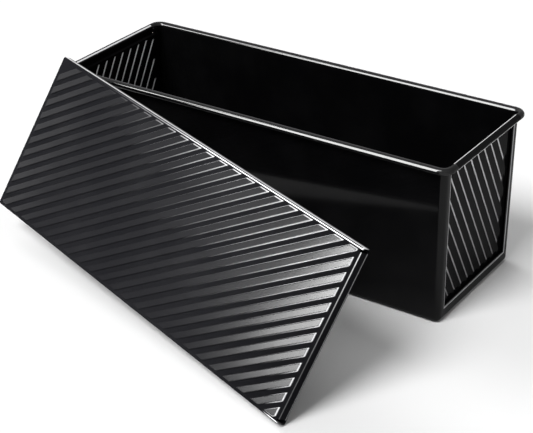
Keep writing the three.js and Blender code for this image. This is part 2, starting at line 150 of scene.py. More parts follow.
@dataclass(frozen=True)
class FoldedPan:
    """Sizes of the pan that its pieces share, in millimetres."""

    height: float = 112
    rim_length: float = 304
    rim_width: float = 110
    wall_taper: float = 1.2
    sheet: float = 0.6
    corner_radius: float = 4.5
    bottom_bend_radius: float = 4
    fold_thinning: float = 0.05
    fold_lap: float = 1.5
    wire_diameter: float = 3.6
    wire_clearance: float = 0.1
    curl_turn: float = 280
    curl_tail_drop: float = 3.4
    curl_tail_gap: float = 0.15
    rim_joint_gap: float = 0.3
    layer_gap: float = 0.1
    side_seam_reach: float = 8
    bottom_seam_reach: float = 10
    hook_tip_gap: float = 0.2
    shoulder_drop: float = 4.2
    shoulder_angle: float = 75
    corner_steps: int = 16
    fold_steps: int = 12
    curl_steps: int = 40

    @property
    def drawn_sheet(self) -> float:
        """Thickness of the sheet where it is drawn round a fold."""
        return self.sheet - 2 * self.fold_thinning

    @property
    def bead_radius(self) -> float:
        """Outside radius of the curl."""
        return self.wire_diameter / 2 + self.wire_clearance + self.drawn_sheet

    @property
    def bead_height(self) -> float:
        """Height of the wire's centre."""
        return self.height - self.bead_radius

    @property
    def bead_offset(self) -> float:
        """From a wall's outer face out to the wire's centre."""
        return self.bead_radius - self.sheet + self.fold_thinning

    @property
    def half_length(self) -> float:
        """From the middle to an end wall's outer face at the rim."""
        return self.rim_length / 2 - self.bead_radius - self.bead_offset

    @property
    def half_width(self) -> float:
        """From the middle to a long wall's outer face at the rim."""
        return self.rim_width / 2 - self.bead_radius - self.bead_offset

    @property
    def hook_radius(self) -> float:
        """Outside radius of a seam hook's fold."""
        return (3 * self.sheet + 2 * self.layer_gap) / 2

    @property
    def bottom_extra(self) -> float:
        """How much farther a seam reaches in at the bottom than at the sides."""
        return self.bottom_seam_reach - self.side_seam_reach

    @property
    def panel_depth(self) -> float:
        """From an end's outer face in to the panel's own face."""
        return 3 * (self.sheet + self.layer_gap)

    @property
    def shoulder_foot(self) -> float:
        """Height at which an end panel starts to step out to the rim."""
        return self.bead_height - self.shoulder_drop

    @property
    def tab_half(self) -> float:
        """Half the width between the side seams of an end."""
        return self.half_width - self.side_seam_reach

    def half_at(self, rim_half: float, z: float) -> float:
        """Half size to the face of the walls at a height."""
        return rim_half - self.wall_taper * (1 - z / self.bead_height)

    def wall_path(self, side_inset: float, bottom_inset: float) -> list[Point2]:
        """The way of one point of the sheet down a long wall, across the bottom and up again.

        Args:
            side_inset: How far in from the wall's outer face the point lies.
            bottom_inset: How far up from the underside it lies.

        Returns:
            The stations as y and z.
        """
        radius = max(self.bottom_bend_radius - max(side_inset, bottom_inset), 0)
        z = bottom_inset + radius
        y = self.half_at(self.half_width, z) - side_inset - radius
        top = self.half_at(self.half_width, self.bead_height) - side_inset
        return [
            (-top, self.bead_height),
            *arc((-y, z), radius, 180, 270, self.corner_steps),
            *arc((y, z), radius, 270, 360, self.corner_steps),
            (top, self.bead_height),
        ]

    def curl_faces(self) -> tuple[list[Point2], list[Point2]]:
        """The outer and inner face of the curl, out from the wall's face and up.

        Returns:
            The outer face from the wall to its tail, and the inner face back to the wall.
        """
        centre = (self.bead_offset, self.bead_height)
        end = 180 - self.curl_turn
        outer = arc(centre, self.bead_radius, 180, end, self.curl_steps)
        inner = arc(centre, self.bead_radius - self.drawn_sheet, 180, end, self.curl_steps)
        tail = (self.curl_tail_gap, self.bead_height - self.curl_tail_drop)
        slope = (outer[-1][1] - tail[1]) / (outer[-1][0] - tail[0])
        rise = slope * (inner[-1][0] - self.curl_tail_gap)
        return [*outer, tail], [*inner, (self.curl_tail_gap, inner[-1][1] - rise)][::-1]


class SeamPoint(NamedTuple):
    """A point of a seam's outline: inset from the long wall and depth from the end's face."""

    inset: float
    depth: float
    bottom_inset: float
    side: int = 1


def seam_points(parts: Sequence[tuple[Sequence[Point2], float]]) -> list[SeamPoint]:
    """Strings the parts of a seam's outline together.

    Args:
        parts: Points as inset and depth, each part with how much farther in it lies at the bottom.

    Returns:
        The outline's points.
    """
    return [SeamPoint(x, y, x + more) for points, more in parts for x, y in points]


class Station(NamedTuple):
    """A point of the rim in plan and the way out from there."""

    x: float
    y: float
    out: float


class Shell:
    """Points and faces of one piece in millimetres, before they become a mesh."""

    def __init__(self) -> None:
        """Starts with nothing in it."""
        self.points: list[Vector] = []
        self.gloss: list[float] = []
        self.edge: list[float] = []
        self.faces: list[list[int]] = []

    def point(self, place: Vector, gloss: float = 0, edge: float = 0) -> int:
        """Adds a point and returns its number.

        Args:
            place: Where it is.
            gloss: How polished the coating is there, from 0 to 1.
            edge: How much bare, bright steel shows there, from 0 to 1, as wear and painted highlight
                lines.

        Returns:
            The point's number.
        """
        self.points.append(place)
        self.gloss.append(gloss)
        self.edge.append(edge)
        return len(self.points) - 1

    def line(self, places: Sequence[Vector], edges: dict[int, float]) -> list[int]:
        """Adds a row of unpolished points, with bare steel and painted highlight at some of them."""
        return [self.point(place, 0, edges.get(i, 0)) for i, place in enumerate(places)]

    def band(self, here: Sequence[int], there: Sequence[int], closed: bool = False) -> None:
        """Adds the faces between two rows of points.

        Args:
            here: One row.
            there: The other row, as long as the first.
            closed: Whether the rows are rings.
        """
        count = len(here)
        for i in range(count if closed else count - 1):
            j = (i + 1) % count
            self.faces.append([here[i], here[j], there[j], there[i]])

    def bands(self, rows: Sequence[Sequence[int]], closed: bool = False) -> None:
        """Adds the faces between all neighbours in a list of rows."""
        for here, there in zip(rows, rows[1:]):
            self.band(here, there, closed)

    def loft(
        self,
        rings: Sequence[Sequence[Vector]],
        gloss: float | Sequence[float] = 1,
        edges: Sequence[float] | None = None,
    ) -> None:
        """Adds a closed solid through rings of points.

        Args:
            rings: The rings, all of one length.
            gloss: How polished the coating is, all over or at each ring.
            edges: How much bare steel and painted highlight each point of a ring carries.
        """
        highlight_share = edges or [0] * len(rings[0])
        shine = gloss if isinstance(gloss, Sequence) else [gloss] * len(rings)
        rows = [
            [self.point(place, polish, edge) for place, edge in zip(ring, highlight_share)]
            for ring, polish in zip(rings, shine)
        ]
        self.bands(rows, closed=True)
        self.faces.append(rows[0][::-1])
        self.faces.append(list(rows[-1]))

    def mesh_object(self, name: str) -> bpy.types.Object:
        """Makes the object, in metres, with smooth faces and sharp edges where it bends hard.

        Args:
            name: The piece's name.

        Returns:
            The new object.
        """
        mesh = bpy.data.meshes.new(name)
        mesh.from_pydata([place * MILLIMETRE for place in self.points], [], self.faces)
        for mark, values in ((GLOSS_MARK, self.gloss), (WEAR_AND_HIGHLIGHT_MARK, self.edge)):
            mesh.attributes.new(mark, "FLOAT", "POINT").data.foreach_set("value", values)
        self.clean(mesh)
        return placed(name, mesh)

    @staticmethod
    def clean(mesh: bpy.types.Mesh) -> None:
        """Merges double points, turns every face outwards and marks the sharp edges.

        Args:
            mesh: The mesh to clean.
        """
        work = bmesh.new()
        work.from_mesh(mesh)
        bmesh.ops.remove_doubles(work, verts=work.verts, dist=MERGE_DISTANCE)
        bmesh.ops.dissolve_degenerate(work, edges=work.edges, dist=FLAT_DISTANCE)
        bmesh.ops.recalc_face_normals(work, faces=work.faces)
        limit = math.radians(SHARP_ANGLE)
        for face in work.faces:
            face.smooth = True
        for edge in work.edges:
            edge.smooth = edge.is_manifold and edge.calc_face_angle(0) < limit
        work.to_mesh(mesh)
        work.free()


def thicken(piece: bpy.types.Object, sheet: float, outward: Vector) -> None:
    """Gives an open surface the thickness of its sheet, on its hidden side.

    Args:
        piece: The object with the surface.
        sheet: The thickness in millimetres.
        outward: The way that the shown side of its widest face looks.
    """
    widest = max(piece.data.polygons, key=lambda face: face.area)
    if widest.normal.dot(outward) < 0:
        piece.data.flip_normals()
    solid = piece.modifiers.new("sheet", "SOLIDIFY")
    solid.thickness = sheet * MILLIMETRE
    solid.offset = -1
    view = bpy.context.evaluated_depsgraph_get()
    mesh = bpy.data.meshes.new_from_object(piece.evaluated_get(view))
    piece.modifiers.clear()
    piece.data = mesh
    Shell.clean(mesh)


def join(name: str, pieces: Sequence[bpy.types.Object]) -> bpy.types.Object:
    """Joins objects that lie at the origin into one.

    Args:
        name: The joined piece's name.
        pieces: What it is joined from; they are used up.

    Returns:
        The joined piece.
    """
    work = bmesh.new()
    for piece in pieces:
        work.from_mesh(piece.data)
        bpy.data.objects.remove(piece)
    mesh = bpy.data.meshes.new(name)
    work.to_mesh(mesh)
    work.free()
    return placed(name, mesh)


@dataclass(frozen=True)
class Window:
    """The part of a flat sheet in which ridges stand, and how far each end of a ridge slopes."""

    left: float
    right: float
    foot: float
    top: float
    left_run: float
    right_run: float
    foot_run: float
    top_run: float

    @property
    def box(self) -> Plate:
        """Its left, right, foot and top."""
        return self.left, self.right, self.foot, self.top

    def share(self, x: float, y: float) -> float:
        """How much of its height a ridge has at a place.

        Args:
            x: Place along the sheet.
            y: Place across it.

        Returns:
            The share, from 0 to 1.
        """
        rises = (
            (x - self.left) / self.left_run,
            (self.right - x) / self.right_run,
            (y - self.foot) / self.foot_run,
            (self.top - y) / self.top_run,
        )
        rise = clamped(min(rises))
        return rise * rise * (3 - 2 * rise)


class RidgeLine(NamedTuple):
    """One line of points along a ridge, from one border of the sheet to the other."""

    rows: list[int]
    start: Point2
    end: Point2


@dataclass(frozen=True)
class Ridges:
    """Ridges pressed side by side into a flat sheet, with rounded shoulders and feet."""

    angle: float
    window: Window
    through: Point2
    pitch: float = 7.85
    crest: float = 3.9
    flank: float = 0.5
    height: float = 1
    least: float = 8
    rounding: float = 0.2
    rounding_steps: int = 3
    highlight_gain: float = 13
    highlight_ends: bool = True
    upper_flank_highlight: float = 1
    end_shares: tuple[float, ...] = (0, 0.14, 0.3, 0.5, 0.7, 0.86, 1, 1.2)
    end_parts: int = 3
    middle_steps: int = 4
    least_gap: float = 0.02

    @property
    def along(self) -> Vector:
        """The way that the ridges run."""
        turn = math.radians(self.angle)
        return Vector((math.cos(turn), math.sin(turn)))

    @property
    def across(self) -> Vector:
        """The way from ridge to ridge."""
        return Vector((-self.along.y, self.along.x))

    def half_profile(self) -> list[Point2]:
        """Half a ridge's section, from its middle out to the trough's middle.

        Returns:
            Points as distance from the middle and share of the height.
        """
        slope = math.atan2(self.height, self.flank)
        radius = self.rounding / math.tan(slope / 2)
        turns = [slope * i / self.rounding_steps for i in range(self.rounding_steps + 1)]
        crest = self.crest / 2 - self.rounding
        foot = self.crest / 2 + self.flank + self.rounding
        curve = [(radius * math.sin(turn), radius * (1 - math.cos(turn))) for turn in turns]
        shoulder = [(crest + x, self.height - y) for x, y in curve]
        base = [(foot - x, y) for x, y in curve[::-1]]
        flat = (crest - self.rounding, self.height), (foot + self.rounding, 0)
        points = [(0, self.height), flat[0], *shoulder, *base, flat[1], (self.pitch / 2, 0)]
        return [(x, y / self.height) for x, y in points]

    def highlight_share(self, rise: float) -> float:
        """How much bare steel and painted highlight a flank carries, from 0 to 1, at a share of the
        ridge's height.
        """
        return clamped(self.highlight_gain * rise * (1 - rise) - 1)

    def cut(self, offset: float, box: Plate) -> Point2 | None:
        """Where a line along the ridges enters and leaves a rectangle.

        Args:
            offset: The line's distance across from the through point.
            box: The rectangle's left, right, foot and top.

        Returns:
            Both places as distances along the line, or None where it misses.
        """
        base = Vector(self.through) + self.across * offset
        spans = [
            sorted(((box[0] - base.x) / self.along.x, (box[1] - base.x) / self.along.x)),
            sorted(((box[2] - base.y) / self.along.y, (box[3] - base.y) / self.along.y)),
        ]
        enter, leave = max(spans[0][0], spans[1][0]), min(spans[0][1], spans[1][1])
        return (enter, leave) if leave - enter > -SAME_PLACE else None

    def stands(self, middle: float) -> bool:
        """Whether there is room for a ridge at a distance across."""
        span = self.cut(middle, self.window.box)
        return span is not None and span[1] - span[0] > self.least

    def offsets(self, plate: Plate, extra: Sequence[Point2]) -> list[Point2]:
        """Distances across of all lines, each with its share of a ridge's height.

        Args:
            plate: The sheet's left, right, foot and top.
            extra: Places on the border that a line has to pass through.

        Returns:
            Offsets in rising order, each with its share.
        """
        left, right, foot, top = plate
        corners = [(left, foot), (right, foot), (right, top), (left, top), *extra]
        exact = [(Vector(corner) - Vector(self.through)).dot(self.across) for corner in corners]
        profile = self.half_profile()
        low, high = min(exact), max(exact)
        found: dict[float, float] = {}
        for ridge in range(math.floor(low / self.pitch) - 1, math.ceil(high / self.pitch) + 2):
            middle = ridge * self.pitch
            stands = self.stands(middle)
            for side in (-1, 1):
                for distance, share in profile:
                    offset = middle + side * distance
                    if low < offset < high:
                        found[round(offset, OFFSET_DIGITS)] = share if stands else 0
        for offset in exact:
            near = [known for known in found if abs(known - offset) < self.least_gap]
            for known in near:
                del found[known]
            found[offset] = self.share_at(offset)
        return sorted(found.items())

    def share_at(self, offset: float) -> float:
        """The profile's share of a ridge's height at any distance across.

        Args:
            offset: The distance across from the through point.

        Returns:
            The share, from 0 to 1.
        """
        middle = round(offset / self.pitch) * self.pitch
        if not self.stands(middle):
            return 0
        distance = abs(offset - middle)
        profile = self.half_profile()
        for (x0, y0), (x1, y1) in zip(profile, profile[1:]):
            if x0 <= distance <= x1:
                return y0 + (y1 - y0) * (distance - x0) / (x1 - x0)
        return 0

    def places(self, offset: float, plate: Plate) -> list[Vector]:
        """The points of one line in the sheet's plane, close together at the ridge's ends.

        Args:
            offset: The line's distance across.
            plate: The sheet's left, right, foot and top.

        Returns:
            As many points for every line.
        """
        enter, leave = self.cut(offset, plate) or (0, 0)
        window = self.window
        inside = self.cut(offset, window.box)
        count = 2 * len(self.end_shares) + self.middle_steps - 1
        if inside is None:
            stops = [enter + (leave - enter) * (i + 1) / (count + 1) for i in range(count)]
        else:
            run = max(window.left_run, window.right_run, window.foot_run, window.top_run)
            most = (inside[1] - inside[0]) / self.end_parts
            reach = min(run / min(abs(self.along.x), abs(self.along.y)), most)
            head = [inside[0] + reach * share for share in self.end_shares]
            tail = [inside[1] - reach * share for share in self.end_shares[::-1]]
            gap = (tail[0] - head[-1]) / self.middle_steps
            stops = [*head, *(head[-1] + gap * i for i in range(1, self.middle_steps)), *tail]
        base = Vector(self.through) + self.across * offset
        return [base + self.along * stop for stop in (enter, *stops, leave)]

    def press(
        self,
        shell: Shell,
        plate: Plate,
        place: Place,
        highlight_wear: Spread,
        extra: Sequence[Point2] = (),
        shine: Spread = full,
    ) -> list[RidgeLine]:
        """Adds the ridged face of a rectangular sheet.

        Args:
            shell: What the points and faces are added to.
            plate: The sheet's left, right, foot and top.
            place: Gives a point in space from x, y and height on the sheet.
            highlight_wear: Gives how strong the bare steel and painted highlight lines on the ridges'
                edges are at a place, from 0 to 1.
            extra: Places on the border that a line has to pass through.
            shine: Gives how polished the ridges' crests are at a place, from 0 to 1.

        Returns:
            Every line of points, so that borders can be carried on.
        """
        lines = []
        for offset, share in self.offsets(plate, extra):
            spots = self.places(offset, plate)
            rows = []
            for spot in spots:
                whole = self.window.share(spot.x, spot.y)
                rise = share * whole
                edge = self.highlight_share(rise) if self.highlight_ends else self.highlight_share(share) * whole
                # Flanks on the upper side carry less of the painted highlight lines than the lower ones.
                if offset > round(offset / self.pitch) * self.pitch:
                    edge *= self.upper_flank_highlight
                raised = place(*spot, rise * self.height)
                rows.append(shell.point(raised, rise * shine(*spot), edge * highlight_wear(*spot)))
            lines.append(RidgeLine(rows, tuple(spots[0]), tuple(spots[-1])))
        shell.bands([line.rows for line in lines])
        return lines


@dataclass
class BodySheet:
    """Bottom and both long walls in one sheet, hooked round the end panels and curled at the top."""

    pan: FoldedPan
    name: str = "folded_body"
    node: str = "body_sheet"
    seam_line: float = 0.5
    # The seam's bottom outline carries a painted highlight line, laid as bare steel, on a few points
    # before its fold.
    highlight_steps: int = 4
    corner_gloss: float = 0.5

    def hook(self) -> list[SeamPoint]:
        """The outline at one end, from the wall's outer face round the hook to its inner face.

        Returns:
            Its points in that order.
        """
        pan = self.pan
        centre = pan.side_seam_reach - pan.hook_radius
        tip = pan.corner_radius + pan.hook_tip_gap
        inside = pan.hook_radius - pan.sheet
        bend = (pan.corner_radius, pan.corner_radius)
        corner = arc(bend, pan.corner_radius, 180, 270, pan.corner_steps)
        fold = arc((centre, pan.hook_radius), pan.hook_radius, 270, 450, pan.fold_steps)
        tips = [(tip, 2 * pan.hook_radius), (tip, 2 * pan.hook_radius - pan.sheet)]
        fold_inside = arc((centre, pan.hook_radius), inside, 450, 270, pan.fold_steps)
        corner_inside = arc(bend, pan.corner_radius - pan.sheet, 270, 180, pan.corner_steps)
        # Points before the fold, where the painted highlight line runs.
        wear_and_highlight = [(centre - self.seam_line, 0), (centre - self.seam_line / 2, 0)]
        folded = [(points, pan.bottom_extra) for points in (wear_and_highlight, fold, fold_inside)]
        return seam_points([(corner, 0), *folded[:2], (tips, 0), folded[2], (corner_inside, 0)])

    def corner(self, side_x: int, side_y: int, start: float, end: float) -> list[Station]:
        """Stations of the rim round one upright corner.

        Args:
            side_x: The corner's side along the pan, 1 or -1.
            side_y: Its side across the pan.
            start: The way out at the first station, in degrees.
            end: The way out at the last station.

        Returns:
            The stations in order.
        """
        pan = self.pan
        radius = pan.corner_radius
        centre = (side_x * (pan.half_length - radius), side_y * (pan.half_width - radius))
        points = arc(centre, radius, start, end, pan.corner_steps)
        step = (end - start) / pan.corner_steps
        return [Station(x, y, start + step * i) for i, (x, y) in enumerate(points)]

    def build(self) -> bpy.types.Object:
        """Makes the body's object.

        Returns:
            The bottom with both long walls, and the curl round the rim in two halves.
        """
        pan = self.pan
        hook = self.hook()
        points = [*hook, *(point._replace(side=-1) for point in reversed(hook))]
        paths = [pan.wall_path(point.inset, point.bottom_inset) for point in points]
        rings = []
        for spots in zip(*paths):
            reaches = [pan.half_at(pan.half_length, z) for _, z in spots]
            rings.append([
                Vector((point.side * (reach - point.depth), y, z))
                for point, reach, (y, z) in zip(points, reaches, spots)
            ])
        # The painted highlight line along the bottom of the seam, laid as bare steel.
        first = pan.corner_steps + 2
        edges = [1 if first <= i < first + self.highlight_steps else 0 for i in range(len(hook))]
        shell = Shell()
        shell.loft(rings, 0, [*edges, *edges[::-1]])
        outer, inner = pan.curl_faces()
        lap = pan.bead_height - pan.fold_lap
        curl = [(-pan.fold_thinning, lap), (pan.fold_thinning - pan.sheet, lap), *outer, *inner]
        steps = pan.corner_steps
        fade = [1 - (1 - self.corner_gloss) * i / steps for i in range(steps + 1)]
        for side in (-1, 1):
            stations = [
                Station(side * -pan.half_length, side * pan.tab_half, 90 * (1 + side)),
                *self.corner(-side, side, 90 * (1 + side), 90 * side),
                *self.corner(side, side, 90 * side, 90 * (side - 1)),
                Station(side * pan.half_length, side * pan.tab_half, 90 * (side - 1)),
            ]
            shell.loft(along_rim(curl, stations), [fade[-1], *fade[::-1], *fade, fade[-1]])
        return shell.mesh_object(self.name)


def along_rim(outline: Sequence[Point2], stations: Sequence[Station]) -> list[list[Vector]]:
    """Rings of an outline that stands square to the rim at each station.

    Args:
        outline: Points as distance out from the wall and height.
        stations: The places along the rim.

    Returns:
        One ring for each station.
    """
    rings = []
    for x, y, out in stations:
        turn = math.radians(out)
        rings.append([Vector((x + d * math.cos(turn), y + d * math.sin(turn), z)) for d, z in outline])
    return rings


@dataclass
class EndPanel:
    """One end of the pan: a ridged panel that hooks into the body and curls over the wire."""

    pan: FoldedPan
    side: int
    name: str
    node: str
    ridge_angle: float = -59.6
    ridge_offset: float = 10
    ridge_flank: float = 0.9
    start_margin: float = 1.2
    end_margin: float = 8
    end_run: float = 2.5
    top_margin: float = 0.4
    foot_margin: float = 3
    foot_run: float = 2
    # Painted highlight lines on the ridge flanks and under the rim, laid as bare steel: faint at the
    # foot, strong at the rim.
    least_highlight: float = 0.2
    upper_flank_highlight: float = 0.15
    line_highlight: float = 0.85
    rim_lines: tuple[int, ...] = (13, 14, 15, 16, 35, 36, 37)  # The points of shoulder() that carry painted highlight lines.

    def stand(self, depth: float, y: float, z: float) -> Vector:
        """A point from its depth behind the end's outer face, its place across and its height."""
        reach = self.pan.half_at(self.pan.half_length, z) - depth
        return Vector((self.side * reach, self.side * y, z))

    def raised(self, x: float, y: float, h: float) -> Vector:
        """A point from its place on the panel's own face and its height above that face."""
        return self.stand(self.pan.panel_depth - h, x, y)

    def highlight_wear(self, _x: float, y: float) -> float:
        """How strong the bare steel and painted highlight lines on the ridges' edges are: faint at the
        foot, strongest towards the rim.
        """
        return self.least_highlight + (1 - self.least_highlight) * y / self.pan.height

    def hook(self) -> list[SeamPoint]:
        """The outline of the edge that folds back outwards round the body's hook.

        Returns:
            Its points, from the lap on the panel's face and back.
        """
        pan = self.pan
        outer = pan.hook_radius - pan.fold_thinning
        inner = outer - pan.drawn_sheet
        centre = pan.panel_depth + pan.sheet - pan.hook_radius
        tip = pan.side_seam_reach - pan.hook_radius - pan.hook_tip_gap
        lap = pan.corner_radius + pan.fold_lap
        bend = (pan.corner_radius, centre)
        return seam_points([
            ([(lap, centre + outer), *arc(bend, outer, 90, 270, pan.fold_steps)], 0),
            ([(tip, centre - outer), (tip, centre - inner)], pan.bottom_extra),
            ([*arc(bend, inner, 270, 90, pan.fold_steps), (lap, centre + inner)], 0),
        ])

    def ridges(self) -> Ridges:
        """The panel's ridges, falling from its near side to its far side.

        Returns:
            The ridges in their window.
        """
        pan = self.pan
        window = Window(
            left=self.start_margin - pan.tab_half,
            right=pan.tab_half - self.end_margin,
            foot=pan.bottom_seam_reach + self.foot_margin,
            top=pan.shoulder_foot - self.top_margin,
            left_run=self.ridge_flank,
            right_run=self.end_run,
            foot_run=self.foot_run,
            top_run=self.ridge_flank,
        )
        through = (window.left + self.ridge_offset, window.top)
        return Ridges(self.ridge_angle, window, through, highlight_ends=False, upper_flank_highlight=self.upper_flank_highlight)

    def shoulder(self) -> list[Point2]:
        """The outline of the step at the top and of the curl above it.

        Returns:
            Its points as distance out from the end's face and height.
        """
        pan = self.pan
        angle = math.radians(pan.shoulder_angle)
        shift = pan.drawn_sheet * math.tan(angle / 2)
        inside, outside = pan.fold_thinning - pan.sheet, -pan.fold_thinning
        foot, depth = pan.shoulder_foot, pan.panel_depth
        top = foot + depth / math.tan(angle)
        outer, inner = pan.curl_faces()
        return [
            (outside, top - shift),
            (outside - depth, foot - shift),
            (outside - depth, foot - pan.fold_lap),
            (inside - depth, foot - pan.fold_lap),
            (inside - depth, foot),
            (inside, top),
            *outer,
            *inner,
        ]

    def build(self) -> bpy.types.Object:
        """Makes the panel's object.

        Returns:
            The ridged face, the seam's edge and the curl, joined.
        """
        pan = self.pan
        sheet = Shell()
        half = pan.half_at(pan.half_width, pan.corner_radius) - pan.corner_radius
        plate = (-half, half, pan.corner_radius, pan.shoulder_foot)
        self.ridges().press(sheet, plate, self.raised, self.highlight_wear)
        face = sheet.mesh_object(self.name + "_face")
        thicken(face, pan.sheet, Vector((self.side, 0, 0)))
        edge = Shell()
        points = self.hook()
        paths = [pan.wall_path(point.inset, point.bottom_inset) for point in points]
        rings = [
            [self.stand(point.depth, *path[i]) for point, path in zip(points, paths)]
            for i in range(len(paths[0]))
        ]
        edge.loft(rings, 0)
        reach = pan.tab_half - pan.rim_joint_gap
        shoulder = self.shoulder()
        # Painted highlight lines along the step and the curl, laid as bare steel.
        marks = [self.line_highlight if i in self.rim_lines else 0 for i in range(len(shoulder))]
        edge.loft([[self.stand(-d, y, z) for d, z in shoulder] for y in (-reach, reach)], 0, marks)
        return join(self.name, [face, edge.mesh_object(self.name + "_edge")])


@dataclass
class Lid:
    """The slide-on lid, one sheet with a channel along each long edge, leaning on the near rim."""

    pan: FoldedPan
    name: str = "ribbed_lid"
    node: str = "lid"
    side_clearance: float = 1.2
    end_clearance: float = 1.2
    overhang: float = 2.2
    sheet: float = 0.6
    depth: float = 7
    lip: float = 4.5
    bend_radius: float = 1.4
    bend_steps: int = 8
    notch_gap: float = 0.3
    flange_gap: float = 2.2
    hem_gap: float = 0.2
    hem_stop: float = 1
    ridge_angle: float = 35.9
    ridge_offset: float = 4.7
    ridge_flank: float = 0.9
    side_margin: float = 2
    open_margin: float = 3
    flange_margin: float = 1.4
    rest_clearance: float = 0.35
    from_rim_end: float = 14
    from_lid_end: float = 10.5
    turn: float = -16.95
    dip: float = 3.66
    # Painted highlight lines on the edges, laid as bare steel: strongest along the upper edge, towards
    # the flange and on the flange's fold.
    highlight_start: float = 30
    highlight_end: float = 163
    highlight_slope: float = 2.6
    highlight_power: float = 2
    held_run: float = 14
    held_rise: float = 7
    least_highlight: float = 0.12
    hem_highlight: float = 0.35
    hem_line: float = 0.5
    lower_gloss: float = 0.59
    upper_gloss: float = 0.72
    open_end_gloss: float = 0.85
    open_end_run: float = 50
    dull_slope: float = 0.55
    dull_start: float = 147
    dull_end: float = 238
    lower_highlight: float = 0.35

    @property
    def width(self) -> float:
        """Overall width."""
        return self.pan.rim_width + 2 * (self.side_clearance + self.sheet)

    @property
    def length(self) -> float:
        """Overall length."""
        return self.pan.rim_length + self.end_clearance + self.sheet + self.overhang

    def leaning(self, lean: float) -> Matrix:
        """The lid's turn in space at a lean in degrees."""
        return turned((self.turn, "Z"), (self.dip, "Y"), (lean, "X"))

    def resting(self) -> Matrix:
        """Where the lid lies: its lip on the near rim and its lower flange corner on the floor.

        Returns:
            The move from the lid's own frame to the pan's.
        """
        pan = self.pan
        along = self.leaning(0) @ Vector((1, 0, 0))
        up = along.cross(Vector((1, 0, 0))).normalized()
        x, y = self.from_rim_end - pan.rim_length / 2, pan.bead_radius - pan.rim_width / 2
        touch = Vector((x, y, pan.bead_height))
        start = touch + up * (pan.bead_radius + self.rest_clearance) - along * self.from_lid_end
        across = self.width - self.lip
        rise = start.z + self.length * along.z - self.rest_clearance
        lean = math.asin(min(rise / (across * math.cos(math.radians(self.dip))), 1))
        turn = self.leaning(math.degrees(lean))
        return Matrix.Translation(start - turn @ Vector((0, across, -self.depth))) @ turn

    def channel(self) -> list[Point2]:
        """Out from the plate's border and down: the section of a channel's outer face.

        Returns:
            Its points as distance out and height.
        """
        bend = self.bend_radius
        low = bend - self.depth
        return [
            *arc((0, -bend), bend, 90, 0, self.bend_steps)[1:],
            *arc((0, low), bend, 0, -90, self.bend_steps),
            (bend - self.lip, -self.depth),
        ]

    def flange(self) -> list[Point2]:
        """Out from the plate's border and down: the outer face of the hemmed end flange.

        Returns:
            Its points as distance out and height, with two just above the hem's fold.
        """
        bend = self.bend_radius
        outside = self.hem_gap / 2 + self.sheet - 2 * self.pan.fold_thinning
        x, fold = bend - outside, outside - self.depth
        return [
            *arc((0, -bend), bend, 90, 0, self.bend_steps)[1:],
            (bend, fold + 2 * self.hem_line),
            (bend, fold + self.hem_line),
            *arc((x, fold), outside, 0, -180, self.bend_steps),
            (x - outside, -bend - self.hem_stop),
        ]

    def ridges(self) -> Ridges:
        """The lid's diagonal ridges.

        Returns:
            The ridges in their window.
        """
        runs = ("left_run", "right_run", "foot_run", "top_run")
        window = Window(
            left=self.open_margin,
            right=self.length - self.bend_radius - self.flange_margin,
            foot=self.side_margin,
            top=self.width - self.side_margin,
            **dict.fromkeys(runs, self.ridge_flank),
        )
        return Ridges(self.ridge_angle, window, (window.right, window.foot + self.ridge_offset))

    def highlight_wear(self, x: float, y: float) -> float:
        """How strong the bare steel and painted highlight on an edge is: most along the upper edge and
        towards the flange.

        Args:
            x: Place along the lid.
            y: Place across it.

        Returns:
            Its strength, from 0 to 1.
        """
        reach = x - self.highlight_slope * (self.width - y)
        share = clamped((reach - self.highlight_start) / (self.highlight_end - self.highlight_start))
        held = clamped((x - self.length + self.held_run) / self.held_rise)
        return max(share**self.highlight_power, held)

    def shine(self, x: float, y: float) -> float:
        """How polished a crest is: most towards the flange, and more at the open end than between.

        Args:
            x: Place along the lid.
            y: Place across it.

        Returns:
            The polish, from 0 to 1.
        """
        reach = x - self.dull_slope * (self.width - y)
        held = (reach - self.dull_start) / (self.dull_end - self.dull_start)
        other = self.open_end_gloss * (1 - x / self.open_end_run)
        least = self.lower_gloss + (self.upper_gloss - self.lower_gloss) * y / self.width
        return least + (1 - least) * clamped(max(held, other))

    def build(self) -> bpy.types.Object:
        """Makes the lid's object.

        Returns:
            The ridged plate with both channels and the flange.
        """
        rest = self.resting()
        shell = Shell()
        bend, steps = self.bend_radius, self.bend_steps
        end = self.length - bend
        foot, top = bend, self.width - bend
        relief = self.sheet + self.notch_gap + self.flange_gap

        def place(x: float, y: float, h: float) -> Vector:
            """A point in space from its place on the lid."""
            return rest @ Vector((x, y, h))

        extra = [(end, relief), (end, self.width - relief)]
        lines = self.ridges().press(shell, (0, end, foot, top), place, self.highlight_wear, extra, self.shine)
        ends = [(*line.start, line.rows[0]) for line in lines]
        ends += [(*line.end, line.rows[-1]) for line in lines]
        # The channels' folds carry painted highlight lines: the upper one in full, the lower one less.
        for edge, way, highlight_share in ((foot, -1, self.lower_highlight), (top, 1, 1)):
            border = sorted((x, row) for x, y, row in ends if abs(y - edge) < SAME_PLACE)
            border.append((self.length, shell.point(place(self.length, edge, 0))))
            rows = []
            for x, row in border:
                marks = dict.fromkeys((0, 1), self.highlight_wear(x, edge))
                marks.update(dict.fromkeys(range(steps // 2 + 1, steps), highlight_share))
                spots = [place(x, edge + way * d, z) for d, z in self.channel()]
                rows.append([row, *shell.line(spots, marks)])
            for row in rows[-1][:steps]:
                shell.edge[row] = highlight_share
            shell.bands(rows)
        low, high = relief - SAME_PLACE, self.width - relief + SAME_PLACE
        rows = []
        border = [(y, row) for x, y, row in ends if abs(x - end) < SAME_PLACE and low < y < high]
        for y, row in sorted(border):
